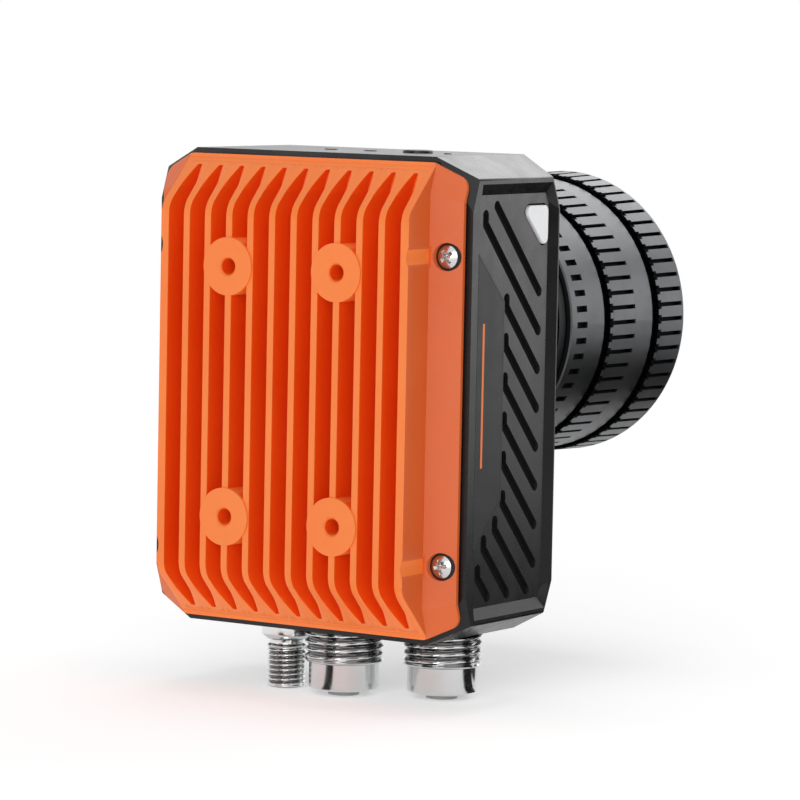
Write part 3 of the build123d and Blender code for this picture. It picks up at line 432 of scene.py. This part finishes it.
def lathe(profile, segments, thread=None):
    """Points and faces of a closed profile of (radius, height) turned about Z.
    thread is (low, high, pitch, depth), cut where the profile is upright between low and high."""
    rows = []
    loop = profile + profile[:1]
    for (r0, z0), (r1, z1) in zip(loop, loop[1:]):
        cut = thread and r0 == r1 and min(z0, z1) >= thread[0] - 1e-6 and max(z0, z1) <= thread[1] + 1e-6
        if cut:
            low, high, pitch, depth = thread
            for z in steps(z0, z1, pitch / 12):
                fade = min(1.0, (z - low) / (0.8 * pitch) + 0.35, (high - z) / (0.8 * pitch))
                rows.append((r0, z, depth * max(0.0, fade), pitch))
        else:
            rows.append((r0, z0, 0.0, 1.0))
    points = []
    for r, z, depth, pitch in rows:
        for index in range(segments):
            turn = index / segments
            radius = r - depth * thread_shape(z / pitch - turn)
            points.append((radius * cos(2 * pi * turn), radius * sin(2 * pi * turn), z))
    faces = []
    for row in range(len(rows)):
        above = (row + 1) % len(rows)
        for index in range(segments):
            after = (index + 1) % segments
            faces.append((row * segments + index, row * segments + after,
                          above * segments + after, above * segments + index))
    return points, faces


def rounded(corners, radii):
    """A profile with its corners rounded; corners and radii run together."""
    out = []
    count = len(corners)
    for index, (corner, radius) in enumerate(zip(corners, radii)):
        here = Vector(corner)
        before, after = Vector(corners[index - 1]) - here, Vector(corners[(index + 1) % count]) - here
        if radius <= 0:
            out.append(corner)
            continue
        reach = min(radius, 0.45 * before.length, 0.45 * after.length)
        first, last = here + before.normalized() * reach, here + after.normalized() * reach
        for share in (0.0, 0.33, 0.67, 1.0):
            point = first.lerp(here, share).lerp(here.lerp(last, share), share)
            out.append(tuple(point))
    return out


# Threaded connector shells
m8_end, m8_flange, m8_cone = BODY_LOW - 13.4, BODY_LOW - 2.6, BODY_LOW - 3.6
m8_start = m8_cone - 0.9
m8_profile = [(2.9, -41.1), (4.0, -41.1), (4.0, BODY_LOW + 0.02), (5.2, BODY_LOW + 0.02), (5.2, m8_flange),
              (4.05, m8_cone), (3.4, m8_cone), (3.4, m8_start), (4.0, m8_start - 0.4), (4.0, m8_end + 0.4),
              (3.6, m8_end), (2.9, m8_end)]
m8_round = [0, 0, 0, 0.2, 0.25, 0.1, 0.1, 0.1, 0, 0, 0.1, 0.15]
points, faces = lathe(rounded(m8_profile, m8_round), 96, (m8_end + 0.4, m8_start - 0.4, 1.0, 0.5))
dress(make("m8_threaded_shell", points, faces, "camera_body", "nickel", ["m8_shell"], M8_PLACE), "m8_thread")

m12_end, m12_thread_end, m12_floor = BODY_LOW - 12.4, BODY_LOW - 6.9, BODY_LOW - 2.2
m12_profile = [(3.25, -41.0), (9.0, -41.0), (9.0, -42.7), (8.0, -42.7), (8.0, m12_thread_end + 0.4),
               (7.6, m12_thread_end), (7.1, m12_thread_end), (7.1, m12_end + 0.4), (6.7, m12_end),
               (6.0, m12_end), (6.0, m12_floor), (3.25, m12_floor)]
m12_round = [0, 0, 0, 0, 0, 0.1, 0.1, 0, 0.15, 0.15, 0, 0]
for name, place in M12_PLACES.items():
    points, faces = lathe(rounded(m12_profile, m12_round), 128, (m12_thread_end + 0.4, -42.7, 1.5, 0.75))
    dress(make(f"{name}_threaded_shell", points, faces, "camera_body", "nickel", [f"{name}_shell"], place),
          "m12_thread")


# Cross recess screws and black rubber rings under their heads, which are sealing washers and also stand in
# for the shade round the heads
WALL_RUN, END_RUN, HUB_RUN = 0.16, 0.45, 0.25


def screw_head(radius, height, arm, half_width, depth):
    """A domed head on Z with a tapered cross recess, as a polar height field."""
    segments, rings = 96, 30
    hub_radius = 0.95 * half_width + 0.35
    points, faces = [(0.0, 0.0, height - depth)], []
    for ring in range(1, rings + 1):
        share = ring / rings
        r = radius * sin(share * pi / 2) if share < 1 else radius
        for index in range(segments):
            turn = 2 * pi * index / segments
            x, y = r * cos(turn), r * sin(turn)
            dome = height * (1 - 0.55 * (r / radius) ** 2) if share < 1 else 0.35 * height
            near = min(abs(x), abs(y))
            far = max(abs(x), abs(y))
            side = (half_width - near) / WALL_RUN
            end = (arm - far) / END_RUN
            cut = max(0.0, min(1.0, side, end))
            hub = max(0.0, min(1.0, (hub_radius - hypot(x, y)) / HUB_RUN))
            points.append((x, y, dome - depth * max(cut * 0.8, hub)))
    for index in range(segments):
        after = (index + 1) % segments
        faces.append((0, 1 + index, 1 + after))
        for ring in range(rings - 1):
            low, high = 1 + ring * segments, 1 + (ring + 1) * segments
            faces.append((low + index, high + index, high + after, low + after))
    edge = 1 + (rings - 1) * segments
    skirt = len(points)
    for index in range(segments):
        turn = 2 * pi * index / segments
        points.append((radius * cos(turn), radius * sin(turn), 0.0))
    for index in range(segments):
        after = (index + 1) % segments
        faces.append((edge + index, skirt + index, skirt + after, edge + after))
    faces.append(tuple(reversed(range(skirt, skirt + segments))))
    return points, faces


head_points, head_faces = screw_head(2.25, 1.5, 1.45, 0.34, 1.0)
seal_shade_profile = rounded([(2.2, -0.05), (2.8, -0.05), (2.8, 0.6), (2.2, 0.6)], [0, 0, 0.2, 0.2])
seal_shade_points, seal_shade_faces = lathe(seal_shade_profile, 64)
seal_shade_points = [(x, -h, y) for x, y, h in seal_shade_points]
turns = iter((0.35, 1.1, 0.62, 0.2))
for side in (-1, 1):
    for z in SCREW_HEIGHTS:
        turn = next(turns)
        points = [(cos(turn) * x - sin(turn) * y, -h, sin(turn) * x + cos(turn) * y)
                  for x, y, h in head_points]
        label = ("right" if side > 0 else "left") + ("_upper" if z > 0 else "_lower")
        seat = (side * SCREW_X, SCREW_SEAT, z)
        make(f"cover_screw_{label}", points, head_faces, "camera_body", "screw_steel", ["cover_screws"],
             seat, 30.0)
        # Black rings under the heads: sealing washers that also stand in for the painted shade round the
        # heads.
        make(f"screw_seal_and_shade_{label}", seal_shade_points, seal_shade_faces, "camera_body", "seal_rubber", (), seat)


# Pointed ends of the fin grooves
POINT_START, POINT_HALF = 38.0, 1.88
TIP_CENTRE, TIP_RADIUS = 44.45, 0.45
FILL_HALF, FILL_END, FILL_BOTTOM = 2.3, 45.45, 9.5
FLOAT, ROUNDING = 0.02, ((0.28, -0.02), (0.08, 0.07), (0.0, 0.28))
ARC_STEPS, TIP_STEPS = 10, 8


def groove_trail():
    """Places and outward directions along one groove end: an arc, the round tip and the arc back."""
    rise = TIP_CENTRE - POINT_START
    arc = (POINT_HALF ** 2 + rise ** 2 - TIP_RADIUS ** 2) / (2 * (POINT_HALF - TIP_RADIUS))
    limit = atan2(arc - POINT_HALF, rise)
    trail = []
    for index in range(ARC_STEPS):
        turn = (pi / 2 - limit) * index / ARC_STEPS
        place = (arc * cos(turn) - arc + POINT_HALF, POINT_START + arc * sin(turn))
        trail.append((place, (cos(turn), sin(turn)), FILL_HALF, place[1]))
    for index in range(TIP_STEPS + 1):
        turn = pi / 2 - limit + 2 * limit * index / TIP_STEPS
        place = (TIP_RADIUS * cos(turn), TIP_CENTRE + TIP_RADIUS * sin(turn))
        trail.append((place, (cos(turn), sin(turn)), FILL_HALF * cos(turn) / sin(limit), FILL_END))
    back = [((-x, z), (-across, up), -outer, end)
            for (x, z), (across, up), outer, end in reversed(trail[:ARC_STEPS])]
    return trail + back


def slope_depth(z):
    """Depth of the fins' end slope at a height."""
    return SLOPE_TOP + (z - SLOPE_START) * SLOPE_RATE


def groove_end():
    """Rows of six points round the filling of one groove end, on the end slope of the fins."""
    rows = []
    for (x, z), (across, up), outer, end in groove_trail():
        row = [(outer, slope_depth(end) - FLOAT, end)]
        for shift, sunk in ROUNDING:
            high = z + shift * up
            row.append((x + shift * across, slope_depth(high) + sunk, high))
        rows.append(row + [(x - 0.05 * across, FILL_BOTTOM, z - 0.05 * up), (outer, FILL_BOTTOM, end)])
    return rows


def groove_points():
    """Points and faces of all pointed ends, at both ends of the eleven grooves."""
    points, faces = [], []
    rows = groove_end()
    wide = len(rows[0])
    for flip in (-1, 1):
        for groove in range(-GROOVES_BESIDE, GROOVES_BESIDE + 1):
            first = len(points)
            points += [(groove * FIN_PITCH + x, y, flip * z) for row in rows for x, y, z in row]
            for row in range(len(rows) - 1):
                for side in range(wide):
                    here, after = first + row * wide, (side + 1) % wide
                    faces.append((here + side, here + after, here + wide + after, here + wide + side))
            faces.append(tuple(range(first, first + wide)))
            faces.append(tuple(range(len(points) - wide, len(points))))
    return points, faces


points, faces = groove_points()
make("groove_points", points, faces, "camera_body", "orange_coat", (), angle=50.0)


# Camera, from the photo's own perspective
AZIMUTH, ELEVATION, ROLL = radians(33.40), radians(5.03), radians(1.13)
DISTANCE, FOCAL = 864.4, 4380.3
CENTRE_X, CENTRE_Y = 278.57, 396.06
PICTURE, SENSOR = 800, 36.0
back = Vector((sin(AZIMUTH) * cos(ELEVATION), -cos(AZIMUTH) * cos(ELEVATION), sin(ELEVATION)))
level = Vector((cos(AZIMUTH), sin(AZIMUTH), 0.0))
upward = back.cross(level)
right = cos(ROLL) * level + sin(ROLL) * upward
above = -sin(ROLL) * level + cos(ROLL) * upward
shift_x = (CENTRE_X - PICTURE / 2) / FOCAL * DISTANCE
shift_y = (PICTURE / 2 - CENTRE_Y) / FOCAL * DISTANCE
camera_data = bpy.data.cameras.new("camera")
camera_data.sensor_width = SENSOR
camera_data.lens = FOCAL / PICTURE * SENSOR
camera_data.clip_start = 0.05
camera_data.clip_end = 50.0
camera = bpy.data.objects.new("camera", camera_data)
camera_place = (-shift_x * right - shift_y * above + DISTANCE * back) * MM
camera_turn = Matrix((right, above, back)).transposed().to_4x4()
camera.matrix_world = Matrix.Translation(camera_place) @ camera_turn
bpy.context.scene.collection.objects.link(camera)
bpy.context.scene.camera = camera


# Floor, world and lamps, in metres
FLOOR_CENTRE, FLOOR_NEAR, FLOOR_FAR = (0.0, 0.05, -0.06), 0.1, 0.3
FLOOR_HALF, FLOOR_GAP, CARD_LIFT = 6.0, 0.00002, 0.001


def seen_ray(tree):
    """1 for the rays that show the background: from the camera, a reflection or through glass."""
    path = add(tree, "LightPath").outputs
    either = math(tree, "MAXIMUM", path["Is Glossy Ray"], path["Is Transmission Ray"])
    return math(tree, "MAXIMUM", path["Is Camera Ray"], either)


world = bpy.data.worlds.new("world")
bpy.context.scene.world = world
world.use_nodes = True
sky = world.node_tree
sky.nodes.clear()
level_of = add(sky, "MapRange", {"Value": seen_ray(sky), "To Min": 0.45, "To Max": 1.0}).outputs["Result"]
backdrop = add(sky, "Background", {"Color": colour("FFFFFF"), "Strength": level_of})
add(sky, "OutputWorld", {"Surface": backdrop.outputs[0]})


def link(piece, *unseen):
    """Puts a stage piece in the scene, hidden from some kinds of rays."""
    bpy.context.scene.collection.objects.link(piece)
    for ray in unseen:
        setattr(piece, "visible_" + ray, False)


floor_material, tree = shader("floor")
place = add(tree, "TexCoord").outputs["Object"]
mottle = mix(tree, noise(tree, place, 6.0), colour("E2E2E2"), colour("E6E6E6"))
plain = add(tree, "BsdfDiffuse", {"Color": mottle, "Roughness": 0.5}).outputs[0]
white = add(tree, "Emission", {"Color": colour("FFFFFF"), "Strength": 1.0}).outputs[0]
faint = add(tree, "Emission", {"Color": colour("FFFFFF"), "Strength": 0.4}).outputs[0]
near = add(tree, "AddShader", {0: plain, 1: faint}).outputs[0]
away = add(tree, "VectorMath", {0: place, 1: FLOOR_CENTRE}, operation="DISTANCE").outputs["Value"]
far = add(tree, "MapRange", {"Value": away, "From Min": FLOOR_NEAR, "From Max": FLOOR_FAR},
          interpolation_type="SMOOTHSTEP").outputs["Result"]
shown = add(tree, "MixShader", {0: far, 1: near, 2: white}).outputs[0]
pick = add(tree, "MixShader", {0: seen_ray(tree), 1: near, 2: shown}).outputs[0]
under = add(tree, "NewGeometry").outputs["Backfacing"]
clear = add(tree, "BsdfTransparent").outputs[0]
add(tree, "OutputMaterial", {"Surface": add(tree, "MixShader", {0: under, 1: pick, 2: clear}).outputs[0]})
floor_mesh = bpy.data.meshes.new("floor")
half, low = FLOOR_HALF, cad_low.z - FLOOR_GAP
floor_mesh.from_pydata([(-half, -half, low), (half, -half, low), (half, half, low), (-half, half, low)], [],
                       [(0, 1, 2, 3)])
floor_mesh.materials.append(floor_material)
floor_object = bpy.data.objects.new("floor", floor_mesh)
link(floor_object)

card_material, tree = shader("card")
place = add(tree, "TexCoord").outputs["Object"]
felt = mix(tree, noise(tree, place, 30.0), colour("161616"), colour("1E1E1E"))
add(tree, "OutputMaterial", {"Surface": add(tree, "BsdfDiffuse", {"Color": felt}).outputs[0]})


def heading(degrees_right, up, distance):
    """A place seen from the object at an angle to the right of the camera and at a height."""
    turn = AZIMUTH + radians(degrees_right)
    return Vector((sin(turn) * distance, -cos(turn) * distance, up))


def card(name, start, end, low_z, high_z, distance):
    """A dark felt card that only reflections see, curved round the object between two headings."""
    count = 8
    corners = [heading(start + (end - start) * index / count, up, distance)
               for index in range(count + 1) for up in (low_z, high_z)]
    mesh = bpy.data.meshes.new(name)
    mesh.from_pydata(corners, [], [(2 * i, 2 * i + 1, 2 * i + 3, 2 * i + 2) for i in range(count)])
    mesh.materials.append(card_material)
    piece = bpy.data.objects.new(name, mesh)
    link(piece, "camera", "diffuse", "shadow", "transmission")


def low_card(name, corners, faces):
    """A flat dark card near the floor that only reflections see."""
    mesh = bpy.data.meshes.new(name)
    mesh.from_pydata([(x, y, cad_low.z + CARD_LIFT) for x, y in corners], [], faces)
    mesh.materials.append(card_material)
    piece = bpy.data.objects.new(name, mesh)
    link(piece, "camera", "diffuse", "shadow", "transmission")


def sector_card(name, place, start, end, inner, outer):
    """A low card round a connector between two headings and two reaches in millimetres."""
    corners = []
    for index in range(7):
        turn = AZIMUTH + radians(start + (end - start) * index / 6)
        corners += [((place[0] + sin(turn) * reach) * MM, (place[1] - cos(turn) * reach) * MM)
                    for reach in (inner, outer)]
    low_card(name, corners, [(2 * i, 2 * i + 1, 2 * i + 3, 2 * i + 2) for i in range(6)])


sector_card("card_m12_power", M12_PLACES["m12_power"], -53.0, -30.0, 9.0, 60.0)
sector_card("card_m12_data", M12_PLACES["m12_data"], 62.0, 98.0, 9.0, 120.0)
low_card("card_lens", [(0.03, 0.046), (0.3, 0.046), (0.3, 0.3), (0.03, 0.3)], [(0, 1, 2, 3)])
card("card_left", -62.0, -26.0, -0.06, 0.3, 0.6)
card("card_right", 54.0, 100.0, -0.06, 0.12, 0.5)


def softbox(name, place, target, width, height, radiance):
    """A rectangular lamp with a given radiance, aimed at a point."""
    data = bpy.data.lights.new(name, "AREA")
    data.shape = "RECTANGLE"
    data.size, data.size_y = width, height
    data.energy = radiance * width * height * pi
    lamp = bpy.data.objects.new(name, data)
    lamp.location = place
    lamp.rotation_mode = "QUATERNION"
    lamp.rotation_quaternion = (Vector(target) - Vector(place)).to_track_quat("-Z", "Y")
    link(lamp, "camera")


softbox("key_light", heading(-10.0, 0.26, 1.0), (0, 0.02, 0), 0.7, 0.6, 2.15)
softbox("low_light", heading(-45.0, 0.02, 0.9), (0, 0.02, -0.03), 0.9, 0.14, 1.7)
softbox("top_light", (0.0, 0.1, 0.8), (0, 0.05, 0), 0.5, 0.4, 2.0)
softbox("front_light", (-0.05, 0.85, 0.58), (0, 0.05, 0), 1.0, 0.5, 2.05)
softbox("side_light", heading(112.0, 0.05, 1.0), (0.03, 0.04, 0), 0.35, 0.5, 1.8)

bpy.context.scene.view_settings.view_transform = "Standard"
